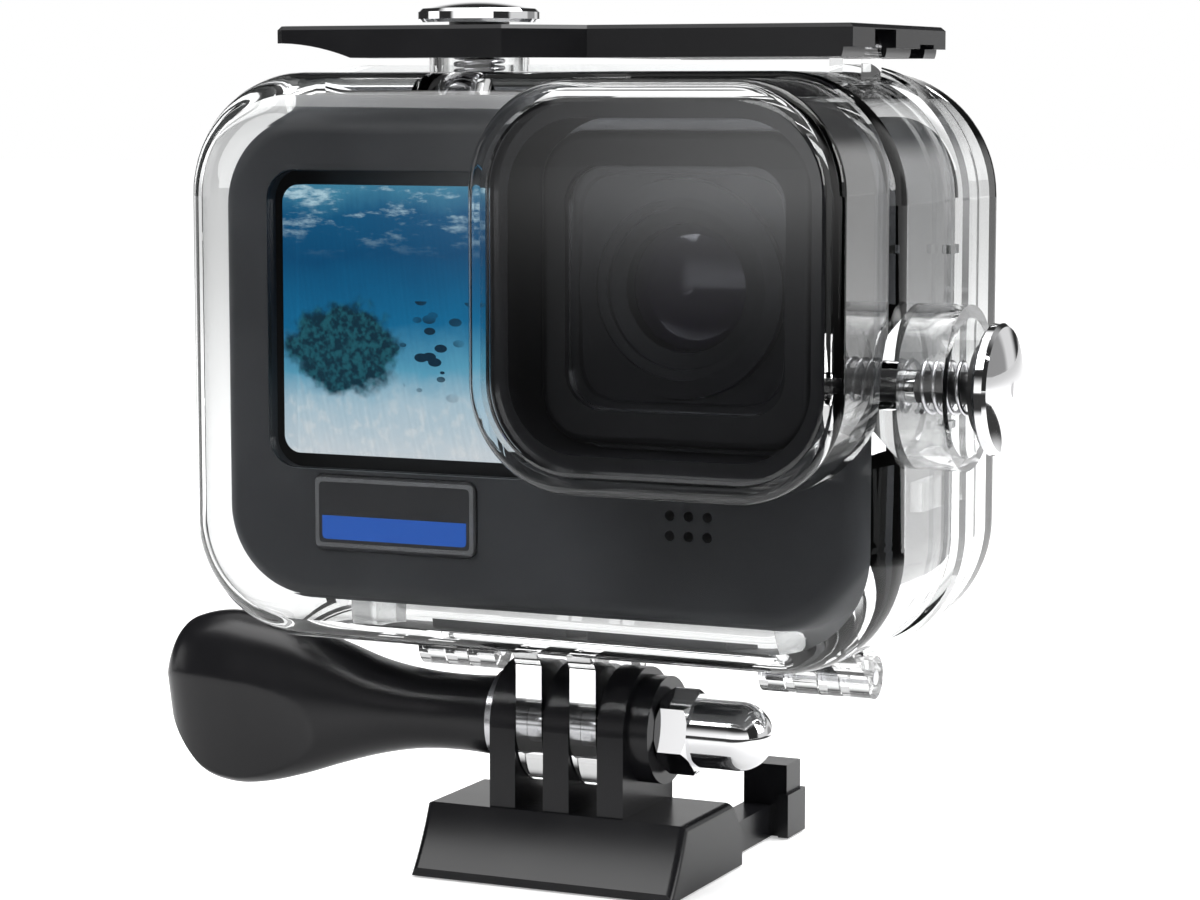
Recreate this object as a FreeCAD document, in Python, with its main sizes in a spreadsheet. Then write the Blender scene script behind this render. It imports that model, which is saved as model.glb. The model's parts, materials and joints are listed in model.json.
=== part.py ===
"""Action camera in a clear waterproof housing, on its tilting quick release mount.

Millimetres, +Z up, the lens looks along -Y. The origin is the middle of the buckle's flat
underside, straight below the bolt that the housing tilts on.
"""
import FreeCAD, Part
import Sketcher
import math
import os
import re

Vector = FreeCAD.Vector

DIMENSIONS = {
    # camera
    "camera_width": 71.8, "camera_height": 50.8, "camera_depth": 27.0, "camera_corner": 9.5,
    "camera_wall": 1.6, "camera_edge": 1.8, "case_split": 14.0,
    # clear housing
    "wall": 2.8, "clear_side": 1.3, "clear_height": 1.8, "front_gap": 1.2, "back_gap": 2.4,
    "shell_corner": 13.0, "shell_edge": 5.5, "seam_depth": 18.0, "rim_height": 0.8,
    "rim_width": 2.2, "housing_shift": 0.8, "camera_setback": 14.0,
    # lens port
    "port_width": 39.4, "port_height": 40.5, "port_corner": 11.0, "port_reach": 10.3,
    "port_wall": 1.7, "port_shift_x": 19.4, "port_shift_z": 9.0, "glass_thick": 2.0,
    # camera lens
    "lens_x": 19.0, "lens_z": 8.7, "cover_width": 29.0, "cover_height": 31.0,
    "cover_reach": 6.6, "cover_corner": 5.0, "barrel_radius": 10.8, "pupil_radius": 6.4,
    # screens and front details
    "screen_width": 29.0, "screen_height": 28.3, "screen_x": -14.3, "screen_z": 4.1,
    "screen_border": 1.6, "plate_width": 19.4, "plate_height": 8.1, "plate_x": -15.4,
    "plate_z": -16.1, "speaker_x": 17.95, "speaker_z": -14.4, "speaker_pitch": 2.05,
    "speaker_hole": 1.05, "rear_screen_width": 52.0, "rear_screen_height": 32.0,
    # tilting mount
    "axis_height": 16.0, "axis_drop": 9.5, "bolt_radius": 2.5, "pin_play": 0.06,
    "prong_thick": 3.0, "prong_pitch": 6.3, "prong_radius": 6.6, "clear_prong_thick": 3.0,
    # buckle
    "buckle_width": 30.4, "nose_height": 7.4, "nose_reach": 10.6, "base_height": 3.6,
    "base_width": 26.0, "base_back": 12.0, "arm_back": 27.0, "arm_width": 3.4,
    "pad_width": 5.2, "pad_height": 8.2, "pad_length": 4.2,
    # thumb screw
    "neck_radius": 4.3, "handle_reach": 51.3, "paddle_half": 10.2, "paddle_thick": 8.6,
    "nut_across": 8.0, "nut_height": 3.6, "dome_reach": 22.0,
    # latch lever
    "bar_front": 1.0, "bar_depth": 5.4, "bar_left": 28.4, "block_right": 33.4, "block_left": 4.7,
    "block_front": 3.5, "lever_gap": 1.4, "lever_top": 4.7, "latch_pin_x": 30.2,
    "latch_pin_up": 2.35, "latch_pin_radius": 0.8, "lug_depth": 6.0, "lug_middle": 13.0,
    # door
    "hinge_depth": 19.7, "hinge_drop": 3.2, "knuckle_radius": 2.3, "hinge_pin_radius": 0.75,
    "gasket_width": 1.4, "part_gap": 0.15,
    # push buttons
    "shutter_x": -11.8, "shutter_depth": 12.0, "cap_radius": 6.5, "cap_rim": 1.1,
    "cap_dome": 1.2, "stem_radius": 1.6, "shutter_rise": 5.2, "press_travel": 1.0,
    "boss_radius": 5.3, "mode_depth": 4.6, "mode_z": -0.9, "mode_reach": 7.6,
    "mode_boss_radius": 8.2, "mode_boss_length": 5.4,
}

CAMERA_FRONT = "-camera_setback"
CAMERA_BACK = "camera_depth - camera_setback"
SHELL_WIDTH = "(camera_width + 2 * clear_side + 2 * wall)"
SHELL_HEIGHT = "(camera_height + 2 * clear_height + 2 * wall)"
SHELL_BOTTOM = "(axis_height + axis_drop)"
SHELL_TOP = f"({SHELL_BOTTOM} + {SHELL_HEIGHT})"
MIDDLE_Z = f"({SHELL_BOTTOM} + {SHELL_HEIGHT} / 2)"
SHELL_FRONT = "(-camera_setback - front_gap - wall)"
SEAM = "(seam_depth - camera_setback)"
DOOR_BACK = "(camera_depth - camera_setback + back_gap + wall)"
PORT_FRONT = f"({SHELL_FRONT} - port_reach)"
PORT_X = "(housing_shift + port_shift_x)"
PORT_Z = f"({MIDDLE_Z} + port_shift_z)"
LENS_X = "(housing_shift + lens_x)"
LENS_Z = f"({MIDDLE_Z} + lens_z)"
COVER_FRONT = "(-camera_setback - cover_reach)"
SCREEN_X = "(housing_shift + screen_x)"
SCREEN_Z = f"({MIDDLE_Z} + screen_z)"
HINGE_Y = "(hinge_depth - camera_setback)"
HINGE_Z = f"({SHELL_BOTTOM} - hinge_drop)"
SHUTTER_X = "(housing_shift + shutter_x)"
SHUTTER_Y = "(shutter_depth - camera_setback)"
CAMERA_TOP = f"({MIDDLE_Z} + camera_height / 2)"
MODE_Y = "(mode_depth - camera_setback)"
MODE_Z = f"({MIDDLE_Z} + mode_z)"
CAMERA_SIDE = "(housing_shift + camera_width / 2)"
SHELL_SIDE = f"(housing_shift + {SHELL_WIDTH} / 2)"
LATCH_X = "(housing_shift + latch_pin_x)"
LATCH_Z = f"({SHELL_TOP} + latch_pin_up)"
LUG_Y = "(lug_middle - camera_setback)"

doc = FreeCAD.newDocument("action_camera")
sheet = doc.addObject("Spreadsheet::Sheet", "dims")
pieces = []


def fill_sheet():
    """Write every driving dimension into a cell of its own, with its name as the alias."""
    for row, (name, value) in enumerate(DIMENSIONS.items(), start=1):
        sheet.set(f"A{row}", name)
        sheet.set(f"B{row}", str(value))
        sheet.setAlias(f"B{row}", name)
    doc.recompute()


def link(expression):
    """Turn names of dimensions into references to the sheet's cells."""
    return re.sub(r"\b([a-z][a-z_]*[a-z])\b", r"dims.\1", str(expression))


def number(expression):
    """Return the present value of an expression of named dimensions."""
    return float(sheet.evalExpression(link(expression)))


def point(x, y, z):
    """Return a vector from three expressions."""
    return Vector(number(x), number(y), number(z))


def new_body(label):
    """Start a part design body that becomes one piece."""
    body = doc.addObject("PartDesign::Body", label)
    body.Label = label
    pieces.append(body)
    return body


def origin_plane(body, role):
    """Return one of the body's own origin planes."""
    return next(item for item in body.Origin.OriginFeatures if item.Role == role)


# For each sketch plane: which way its normal points along the axis that it extrudes on.
PLANES = {"X": ("YZ_Plane", 1), "Y": ("XZ_Plane", -1), "Z": ("XY_Plane", 1)}


def start_sketch(body, axis, across, upward, start):
    """Attach a sketch square to an axis, its own zero at the given place."""
    role, way = PLANES[axis]
    sketch = body.newObject("Sketcher::SketchObject", f"{body.Label}_outline")
    sketch.AttachmentSupport = [(origin_plane(body, role), "")]
    sketch.MapMode = "FlatFace"
    sketch.setExpression(".AttachmentOffset.Base.x", link(across))
    sketch.setExpression(".AttachmentOffset.Base.y", link(upward))
    sketch.setExpression(".AttachmentOffset.Base.z", link(start if way > 0 else f"-({start})"))
    return sketch


def name_size(sketch, index, name, expression):
    """Name a constraint and bind it to the sheet."""
    sketch.renameConstraint(index, name)
    sketch.setExpression(f"Constraints.{name}", link(expression))


def draw_circle(sketch, diameter, name="diameter"):
    """Draw a circle about the sketch's zero."""
    radius = number(diameter) / 2
    circle = sketch.addGeometry(Part.Circle(Vector(0, 0, 0), Vector(0, 0, 1), radius))
    sketch.addConstraint(Sketcher.Constraint("Coincident", circle, 3, -1, 1))
    index = sketch.addConstraint(Sketcher.Constraint("Diameter", circle, 2 * radius))
    name_size(sketch, index, name, diameter)


def draw_rectangle(sketch, width, height, corner=None, tag=""):
    """Draw a rectangle about the sketch's zero, with round corners if a radius is given."""
    half_w = number(width) / 2
    half_h = number(height) / 2
    radius = number(corner) if corner else 0
    inner_w = half_w - radius
    inner_h = half_h - radius
    ends = [
        ((-inner_w, -half_h), (inner_w, -half_h)), ((half_w, -inner_h), (half_w, inner_h)),
        ((inner_w, half_h), (-inner_w, half_h)), ((-half_w, inner_h), (-half_w, -inner_h)),
    ]
    lines = [sketch.addGeometry(Part.LineSegment(Vector(*a, 0), Vector(*b, 0))) for a, b in ends]
    rules = [("Horizontal", lines[0]), ("Vertical", lines[1])]
    rules += [("Horizontal", lines[2]), ("Vertical", lines[3])]
    if corner:
        centres = [(inner_w, -inner_h), (inner_w, inner_h), (-inner_w, inner_h), (-inner_w, -inner_h)]
        arcs = []
        for turn, centre in enumerate(centres):
            circle = Part.Circle(Vector(*centre, 0), Vector(0, 0, 1), radius)
            begin = (turn - 1) * math.pi / 2
            arcs.append(sketch.addGeometry(Part.ArcOfCircle(circle, begin, begin + math.pi / 2)))
        for turn in range(4):
            rules.append(("Tangent", lines[turn], 2, arcs[turn], 1))
            rules.append(("Tangent", arcs[turn], 2, lines[(turn + 1) % 4], 1))
        rules += [("Equal", arcs[0], arc) for arc in arcs[1:]]
    else:
        rules += [("Coincident", lines[i], 2, lines[(i + 1) % 4], 1) for i in range(4)]
    for rule in rules:
        sketch.addConstraint(Sketcher.Constraint(*rule))
    sketch.addConstraint(Sketcher.Constraint("Symmetric", lines[0], 1, lines[2], 1, -1, 1))
    index = sketch.addConstraint(Sketcher.Constraint("DistanceX", lines[3], 1, lines[1], 1, 2 * half_w))
    name_size(sketch, index, f"width{tag}", width)
    index = sketch.addConstraint(Sketcher.Constraint("DistanceY", lines[0], 1, lines[2], 1, 2 * half_h))
    name_size(sketch, index, f"height{tag}", height)
    if corner:
        index = sketch.addConstraint(Sketcher.Constraint("Radius", arcs[0], radius))
        name_size(sketch, index, f"corner{tag}", corner)


def draw_outline(sketch, points):
    """Draw a closed outline; a point given as a triple is the middle of an arc."""
    spots = [Vector(number(p[0]), number(p[1]), 0) for p in points]
    count = len(points)
    index = 0
    while index < count:
        following = (index + 1) % count
        if len(points[following]) == 3:
            after = (index + 2) % count
            sketch.addGeometry(Part.Arc(spots[index], spots[following], spots[after]))
            index += 2
        else:
            sketch.addGeometry(Part.LineSegment(spots[index], spots[following]))
            index += 1


def extrude(body, sketch, axis, length, cut=False):
    """Pad or pocket a sketch from its plane towards the axis' positive end."""
    doc.recompute()
    before = body.Shape.Volume if body.Tip and not body.Shape.isNull() else 0
    kind = "PartDesign::Pocket" if cut else "PartDesign::Pad"
    feature = body.newObject(kind, f"{body.Label}_{'cut' if cut else 'pad'}")
    feature.Profile = sketch
    feature.setExpression("Length", link(length))
    along_normal = PLANES[axis][1] > 0
    feature.Reversed = along_normal if cut else not along_normal
    sketch.Visibility = False
    doc.recompute()
    if cut and body.Shape.Volume > before - 1e-6:
        raise RuntimeError(f"{body.Label}: a pocket removed nothing")
    return feature


def block(body, axis, size, middle, start, length, cut=False):
    """Pad or pocket a rectangle: size is (width, height) or (width, height, corner)."""
    sketch = start_sketch(body, axis, middle[0], middle[1], start)
    draw_rectangle(sketch, *size)
    return extrude(body, sketch, axis, length, cut)


def disc(body, axis, diameter, middle, start, length, cut=False):
    """Pad or pocket a circle."""
    sketch = start_sketch(body, axis, middle[0], middle[1], start)
    draw_circle(sketch, diameter)
    return extrude(body, sketch, axis, length, cut)


def prism(body, axis, points, start, length, cut=False, middle=("0", "0")):
    """Pad or pocket a free outline."""
    sketch = start_sketch(body, axis, middle[0], middle[1], start)
    draw_outline(sketch, points)
    return extrude(body, sketch, axis, length, cut)


def round_edges(body, radius, wanted, chamfer=False):
    """Fillet or chamfer the edges of the body's present shape that the test accepts."""
    doc.recompute()
    names = [f"Edge{i}" for i, edge in enumerate(body.Shape.Edges, start=1) if wanted(edge)]
    if not names:
        raise RuntimeError(f"{body.Label}: no edge to round")
    base = body.Tip
    feature = body.newObject("PartDesign::Chamfer" if chamfer else "PartDesign::Fillet", "rounding")
    feature.Base = (base, names)
    feature.setExpression("Size" if chamfer else "Radius", link(radius))
    doc.recompute()
    return feature


def edge_box(edge):
    """Return an edge's bounding box."""
    return edge.BoundBox


def on_plane(axis, place, outside=None):
    """Return a test for edges that lie in a plane square to an axis."""
    low = {"X": "XMin", "Y": "YMin", "Z": "ZMin"}[axis]
    high = {"X": "XMax", "Y": "YMax", "Z": "ZMax"}[axis]
    level = number(place)

    def test(edge):
        box = edge_box(edge)
        flat = abs(getattr(box, low) - level) < 1e-4 and abs(getattr(box, high) - level) < 1e-4
        return flat and (outside is None or outside(box))
    return test


TURNS = {
    "X": FreeCAD.Rotation(Vector(0, 1, 0), 90),
    "Y": FreeCAD.Rotation(Vector(1, 0, 0), -90),
    "Z": FreeCAD.Rotation(),
}


def rod(label, axis, radius, start, length):
    """Make a cylinder that runs towards the axis' positive end from a start point."""
    cylinder = doc.addObject("Part::Cylinder", label)
    cylinder.Placement = FreeCAD.Placement(Vector(), TURNS[axis])
    cylinder.setExpression("Radius", link(radius))
    cylinder.setExpression("Height", link(length))
    for name, value in zip("xyz", start):
        cylinder.setExpression(f".Placement.Base.{name}", link(value))
    return cylinder


def slab(label, size, low):
    """Make a box from its size and its lowest corner."""
    box = doc.addObject("Part::Box", label)
    for name, value in zip(("Length", "Width", "Height"), size):
        box.setExpression(name, link(value))
    for name, value in zip("xyz", low):
        box.setExpression(f".Placement.Base.{name}", link(value))
    return box


def keep(item, label):
    """Name a finished piece and list it for the export."""
    item.Label = label
    pieces.append(item)
    return item


def cut_from(label, base, tool):
    """Cut one primitive from another."""
    result = doc.addObject("Part::Cut", label)
    result.Base = base
    result.Tool = tool
    return result


def tube(label, axis, outer, inner, start, length):
    """Make a ring or tube about an axis."""
    around = rod(f"{label}_outside", axis, outer, start, length)
    bore = rod(f"{label}_bore", axis, inner, start, length)
    return keep(cut_from(f"{label}_ring", around, bore), label)


def group(label, items):
    """Gather separate solids into one piece."""
    bundle = doc.addObject("Part::Compound", f"{label}_group")
    bundle.Links = items
    return keep(bundle, label)


def shaped(label, shape):
    """Keep a shape that is made directly from curves and faces."""
    feature = doc.addObject("Part::Feature", f"{label}_shape")
    feature.Shape = shape
    return keep(feature, label)


def turned(profile, centre, axis):
    """Turn a closed profile of (radius, along) points once about an axis through a centre."""
    spots = [Vector(r, 0, a) for r, a in profile]
    face = Part.Face(Part.makePolygon(spots + spots[:1]))
    solid = face.revolve(Vector(), Vector(0, 0, 1), 360)
    solid.Placement = FreeCAD.Placement(centre, TURNS[axis])
    return solid


def domed_cap(radius, rim, dome, centre, axis):
    """Make a shallow domed disc: a straight rim with a spherical top."""
    edge = min(0.35, rim / 3)
    path = [
        Part.makeLine(Vector(0, 0, 0), Vector(radius - edge, 0, 0)),
        Part.makeLine(Vector(radius - edge, 0, 0), Vector(radius, 0, edge)),
        Part.makeLine(Vector(radius, 0, edge), Vector(radius, 0, rim)),
        Part.makeLine(Vector(radius, 0, rim), Vector(radius - edge, 0, rim + edge)),
    ]
    rise = dome - edge
    ball = ((radius - edge) ** 2 + rise ** 2) / (2 * rise)
    half = 0.5 * math.asin((radius - edge) / ball)
    foot = rim + dome - ball
    middle = Vector(ball * math.sin(half), 0, foot + ball * math.cos(half))
    path.append(Part.Arc(Vector(radius - edge, 0, rim + edge), middle,
                         Vector(0, 0, rim + dome)).toShape())
    path.append(Part.makeLine(Vector(0, 0, rim + dome), Vector(0, 0, 0)))
    solid = Part.Face(Part.Wire(path)).revolve(Vector(), Vector(0, 0, 1), 360)
    solid.Placement = FreeCAD.Placement(centre, TURNS[axis])
    return solid


def coil(radius, wire, height, turns, start, axis):
    """Make a coil spring that stands on a start point."""
    helix = Part.makeHelix((height - wire) / turns, height - wire, radius)
    section = Part.Wire(Part.makeCircle(wire / 2, Vector(radius, 0, 0), Vector(0, 1, 0)))
    solid = Part.Wire(helix).makePipeShell([section], True, True)
    solid.Placement = FreeCAD.Placement(Vector(0, 0, 0), TURNS[axis])
    shift = {"X": Vector(wire / 2, 0, 0), "Z": Vector(0, 0, wire / 2)}[axis]
    solid.translate(start + shift)
    return solid


# ---------------------------------------------------------------- quick release mount

def buckle():
    """Buckle: scooped nose, base with side rails, two springy arms and three prongs."""
    body = new_body("buckle")
    front = "-nose_reach"
    prism(body, "X", [
        (front, "0"), ("prong_radius + 2", "0"), ("prong_radius + 2", "base_height"),
        ("prong_radius - 1", "nose_height"), ("-prong_radius - 0.4", "nose_height"),
        ("-prong_radius - 2.6", "nose_height / 2 - 0.7", "arc"), (front, "0.9"),
    ], "-buckle_width / 2", "buckle_width")
    block(body, "Z", ("base_width", "base_back + 2"), ("0", "(base_back - 2) / 2"), "0", "base_height")
    block(body, "Z", ("base_width - 2 * arm_width - 5", "base_back + 6"),
          ("0", "base_back + 2 - base_back / 2"), "0", "base_height - 0.8")
    for side in (-1, 1):
        middle = f"{side} * (base_width / 2 - arm_width / 2)"
        block(body, "Z", ("arm_width", "arm_back - base_back + 1"),
              (middle, "(arm_back + base_back - 1) / 2"), "0", "base_height")
        pad = f"{side} * (base_width / 2 - arm_width + pad_width / 2)"
        block(body, "Z", ("pad_width", "pad_length"), (pad, "arm_back - pad_length / 2"), "0",
              "pad_height")
        block(body, "Z", ("1.2", "pad_length + 1.2"),
              (f"{side} * (base_width / 2 - arm_width + pad_width - 0.2)",
               "arm_back - pad_length / 2"), "0", "pad_height * 0.6")
    lip = [
        ("-prong_radius", "nose_height - 1"), ("prong_radius", "nose_height - 1"),
        ("prong_radius", "axis_height"), ("0", "axis_height + prong_radius", "arc"),
        ("-prong_radius", "axis_height"),
    ]
    for place in (-1, 0, 1):
        prism(body, "X", lip, f"{place} * prong_pitch - prong_thick / 2", "prong_thick")
    disc(body, "X", "2 * nut_across * 0.72", ("0", "axis_height"),
         "prong_pitch + prong_thick / 2 - 0.5", "2.9")
    disc(body, "X", "2 * bolt_radius + 2 * pin_play", ("0", "axis_height"), "-prong_pitch * 2",
         "prong_pitch * 4", cut=True)
    behind = number("prong_radius")

    def scoop_edge(box):
        return box.ZMin > 0.5 and box.YMax < behind
    right_edges = on_plane("X", "buckle_width / 2", scoop_edge)
    left_edges = on_plane("X", "-buckle_width / 2", scoop_edge)
    round_edges(body, "0.8", lambda edge: right_edges(edge) or left_edges(edge))
    return body


def acorn_nut():
    """Chrome nut: a hexagon with a domed cap, threaded on the bolt."""
    radius = number("nut_across / 2") / math.cos(math.radians(30))
    start = number("prong_pitch + prong_thick / 2 + 2.4 + part_gap / 3")
    long = number("nut_height")
    spots = [Vector(start, radius * math.cos(math.radians(60 * i + 20)),
                    radius * math.sin(math.radians(60 * i + 20))) for i in range(7)]
    hexagon = Part.Face(Part.makePolygon(spots)).extrude(Vector(long, 0, 0))
    bevel = turned([(0, 0), (radius - 0.5, 0), (radius + 0.05, 0.5), (radius + 0.05, long - 0.5),
                    (radius - 0.5, long), (0, long)], Vector(start, 0, 0), "X")
    hexagon = hexagon.common(bevel)
    dome_radius = number("nut_across / 2 - 0.3")
    dome_base = start + long - 0.4
    tip = number("dome_reach")
    straight = tip - dome_radius
    cap = Part.makeCylinder(dome_radius, straight - dome_base, Vector(dome_base, 0, 0), Vector(1, 0, 0))
    cap = cap.fuse(Part.makeSphere(dome_radius, Vector(straight, 0, 0)))
    solid = hexagon.fuse(cap).removeSplitter()
    bore = Part.makeCylinder(number("bolt_radius + pin_play"), number("dome_reach") - start - 4,
                             Vector(start - 1, 0, 0), Vector(1, 0, 0))
    solid = solid.cut(bore)
    solid.translate(Vector(0, 0, number("axis_height")))
    return shaped("acorn_nut", solid)


def thumb_handle():
    """Thumb screw's handle: a round neck that swells into a flat paddle."""
    axis_z = number("axis_height")
    neck = number("neck_radius")
    start = -number("prong_pitch + prong_thick / 2 + 1.2 + part_gap")
    end = -number("handle_reach")
    half = number("paddle_half")
    thick = number("paddle_thick / 2")
    stations = [
        (start, neck, neck), (start - 5, neck - 0.15, neck - 0.15), (start - 10, neck + 0.1, neck),
        (start - 15, half * 0.62, neck), (start - 21, half * 0.82, thick),
        (start - 28, half * 0.98, thick), (start - 34, half, thick), (end + 3.5, half * 0.84, thick * 0.9),
        (end + 0.8, half * 0.56, thick * 0.6), (end, half * 0.3, thick * 0.3),
    ]
    sections = []
    for x, tall, deep in stations:
        ellipse = Part.Ellipse(Vector(x, 0, axis_z), max(tall, deep + 1e-3), deep)
        ellipse.Axis = Vector(1, 0, 0)
        ellipse.XAxis = Vector(0, 0, 1)
        sections.append(Part.Wire(ellipse.toShape()))
    solid = Part.makeLoft(sections, True, False)
    collar = Part.makeCylinder(neck + 0.7, 1.6, Vector(start - 1.6, 0, axis_z), Vector(1, 0, 0))
    solid = solid.fuse(collar)
    bore = Part.makeCylinder(number("bolt_radius"), 9, Vector(start - 8, 0, axis_z), Vector(1, 0, 0))
    return shaped("thumb_handle", solid.cut(bore))


def thumb_bolt():
    """Steel bolt, moulded into the handle and through all five prongs."""
    return keep(rod("thumb_rod", "X", "bolt_radius",
                    ("-prong_pitch - prong_thick / 2 - 1.2 - part_gap - 8", "0", "axis_height"),
                    "2 * prong_pitch + prong_thick + 1.2 + part_gap + 8 + 2.4 + nut_height + 2"),
                "thumb_bolt")


def thumb_washer():
    """Washer between the handle's collar and the first prong."""
    tube("thumb_washer", "X", "neck_radius + 0.9", "bolt_radius",
         ("-prong_pitch - prong_thick / 2 - 1.2 - part_gap", "0", "axis_height"), "1.2")


# ---------------------------------------------------------------- clear housing

def front_shell():
    """Clear front half: tub with the square lens port, button bosses, lug and mount prongs."""
    body = new_body("front_shell")
    middle = ("housing_shift", MIDDLE_Z)
    block(body, "Y", (SHELL_WIDTH, SHELL_HEIGHT, "shell_corner"), middle, SHELL_FRONT,
          f"{SEAM} - {SHELL_FRONT}")
    round_edges(body, "shell_edge", on_plane("Y", SHELL_FRONT))
    block(body, "Y", (f"{SHELL_WIDTH} + 2 * rim_height", f"{SHELL_HEIGHT} + 2 * rim_height",
                      "shell_corner + rim_height"), middle, f"{SEAM} - rim_width", "rim_width")
    block(body, "Y", ("port_width", "port_height", "port_corner"), (PORT_X, PORT_Z), PORT_FRONT,
          f"{SEAM} - rim_width - 3 - ({PORT_FRONT})")
    round_edges(body, "1.1", on_plane("Y", PORT_FRONT))
    disc(body, "Z", "2 * boss_radius", (SHUTTER_X, SHUTTER_Y), f"{SHELL_TOP} - wall", "wall + 1.6")
    disc(body, "X", "2 * mode_boss_radius", (MODE_Y, MODE_Z), f"{SHELL_SIDE} - wall",
         "wall + mode_boss_length")
    block(body, "Y", (f"{SHELL_WIDTH} - 2 * wall", f"{SHELL_HEIGHT} - 2 * wall", "shell_corner - wall"),
          middle, "-camera_setback - front_gap", f"{SEAM} + camera_setback + front_gap + 1", cut=True)
    block(body, "Y", ("port_width - 2 * port_wall", "port_height - 2 * port_wall",
                      "port_corner - port_wall"), (PORT_X, PORT_Z), f"{PORT_FRONT} - 1",
          f"-camera_setback - front_gap - ({PORT_FRONT}) + 2", cut=True)
    add_side_ribs(body)
    add_mount_prongs(body)
    add_shell_knuckles(body)
    add_latch_lug(body)
    cut_button_bores(body)
    return body


def add_side_ribs(body):
    """Four short stiffening ribs, two on each side wall."""
    for side in (-1, 1):
        for height in ("12.2", "-6"):
            block(body, "Y", ("0.9", "0.9"),
                  (f"housing_shift + {side} * {SHELL_WIDTH} / 2", f"{MIDDLE_Z} + {height}"),
                  "mode_depth + mode_boss_radius + 0.4 - camera_setback",
                  "seam_depth - rim_width - mode_depth - mode_boss_radius - 0.2")


def add_mount_prongs(body):
    """Two clear prongs that stand in the gaps of the buckle's three."""
    profile = [
        ("-prong_radius - 2.4", f"{SHELL_BOTTOM} + 1"), ("-prong_radius", f"{SHELL_BOTTOM} - 2.4"),
        ("-prong_radius", "axis_height"), ("0", "axis_height - prong_radius", "arc"),
        ("prong_radius", "axis_height"), ("prong_radius", f"{SHELL_BOTTOM} - 3.6"),
        (f"{SEAM} - 0.3", f"{SHELL_BOTTOM} - rim_height - 0.2"), (f"{SEAM} - 0.3", f"{SHELL_BOTTOM} + 1"),
    ]
    for side in (-1, 1):
        prism(body, "X", profile, f"{side} * prong_pitch / 2 - clear_prong_thick / 2",
              "clear_prong_thick")
    disc(body, "X", "2 * bolt_radius + 2 * pin_play", ("0", "axis_height"), "-prong_pitch",
         "2 * prong_pitch", cut=True)


SHELL_KNUCKLES = (("-22.4", "3.2"), ("-16.2", "3.2"), ("21.2", "3.6"), ("27.4", "3.2"))
DOOR_KNUCKLES = (("-19.2", "2.7"), ("18", "2.9"), ("24.8", "2.3"))


def add_shell_knuckles(body):
    """Knuckles on arms that reach back under the door."""
    for start, length in SHELL_KNUCKLES:
        place = f"housing_shift + {start}"
        disc(body, "X", "2 * knuckle_radius", (HINGE_Y, HINGE_Z), place, length)
        prism(body, "X", [
            (f"{SEAM} - 6", f"{SHELL_BOTTOM} + 0.6"), (f"{SEAM} - 1.6", f"{SHELL_BOTTOM} + 0.6"),
            (f"{SEAM} - 0.2", f"{SHELL_BOTTOM} - rim_height - 0.3"),
            (HINGE_Y, f"{HINGE_Z} + knuckle_radius - 0.3"), (HINGE_Y, HINGE_Z),
            (f"{HINGE_Y} - knuckle_radius + 0.1", HINGE_Z),
        ], place, length)
    disc(body, "X", "2 * hinge_pin_radius + 2 * pin_play", (HINGE_Y, HINGE_Z),
         "housing_shift - 30", "70", cut=True)


def add_latch_lug(body):
    """Lug on the roof that holds the lever's hinge pin."""
    block(body, "Y", ("3.4", "latch_pin_up + 1"),
          (LATCH_X, f"{SHELL_TOP} + latch_pin_up / 2 - 0.5"), f"{LUG_Y} - lug_depth / 2", "lug_depth")
    disc(body, "Y", "3.4", (LATCH_X, LATCH_Z), f"{LUG_Y} - lug_depth / 2", "lug_depth")
    disc(body, "Y", "2 * latch_pin_radius + 2 * pin_play", (LATCH_X, LATCH_Z),
         f"{LUG_Y} - lug_depth / 2 - 1", "lug_depth + 2", cut=True)


def cut_button_bores(body):
    """Bores for the two push stems, and the open spring cup of the side button."""
    disc(body, "Z", "2 * stem_radius + 2 * pin_play", (SHUTTER_X, SHUTTER_Y),
         f"{SHELL_TOP} - wall - 2", "wall + 6", cut=True)
    disc(body, "Z", "2 * boss_radius - 2.4", (SHUTTER_X, SHUTTER_Y), f"{SHELL_TOP} - 0.6", "4", cut=True)
    disc(body, "X", "2 * stem_radius + 2 * pin_play", (MODE_Y, MODE_Z), f"{SHELL_SIDE} - wall - 2",
         "wall + 12", cut=True)
    disc(body, "X", "2 * mode_boss_radius - 2.6", (MODE_Y, MODE_Z), f"{SHELL_SIDE} + 0.4",
         "mode_boss_length + 2", cut=True)


def locating_pads():
    """Soft pads that hold the camera in the tub: two above, two below and one at each side."""
    pads = []
    tall = "clear_height - 0.1"
    for index, (place, low) in enumerate((("-25", f"{SHELL_TOP} - wall - clear_height + 0.05"),
                                          ("24", f"{SHELL_TOP} - wall - clear_height + 0.05"),
                                          ("-25", f"{SHELL_BOTTOM} + wall + 0.05"),
                                          ("24", f"{SHELL_BOTTOM} + wall + 0.05"))):
        pads.append(slab(f"pad_level_{index}", ("3", "7", tall),
                         (f"housing_shift + {place}", "-6", low)))
    thick = "clear_side - 0.1"
    for index, start in enumerate((f"{CAMERA_SIDE} + 0.05", f"{SHELL_SIDE} - {SHELL_WIDTH} + wall + 0.05")):
        pads.append(slab(f"pad_side_{index}", (thick, "7", "3"), (start, "-5", f"{MIDDLE_Z} - 14")))
    group("locating_pads", pads)


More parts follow.
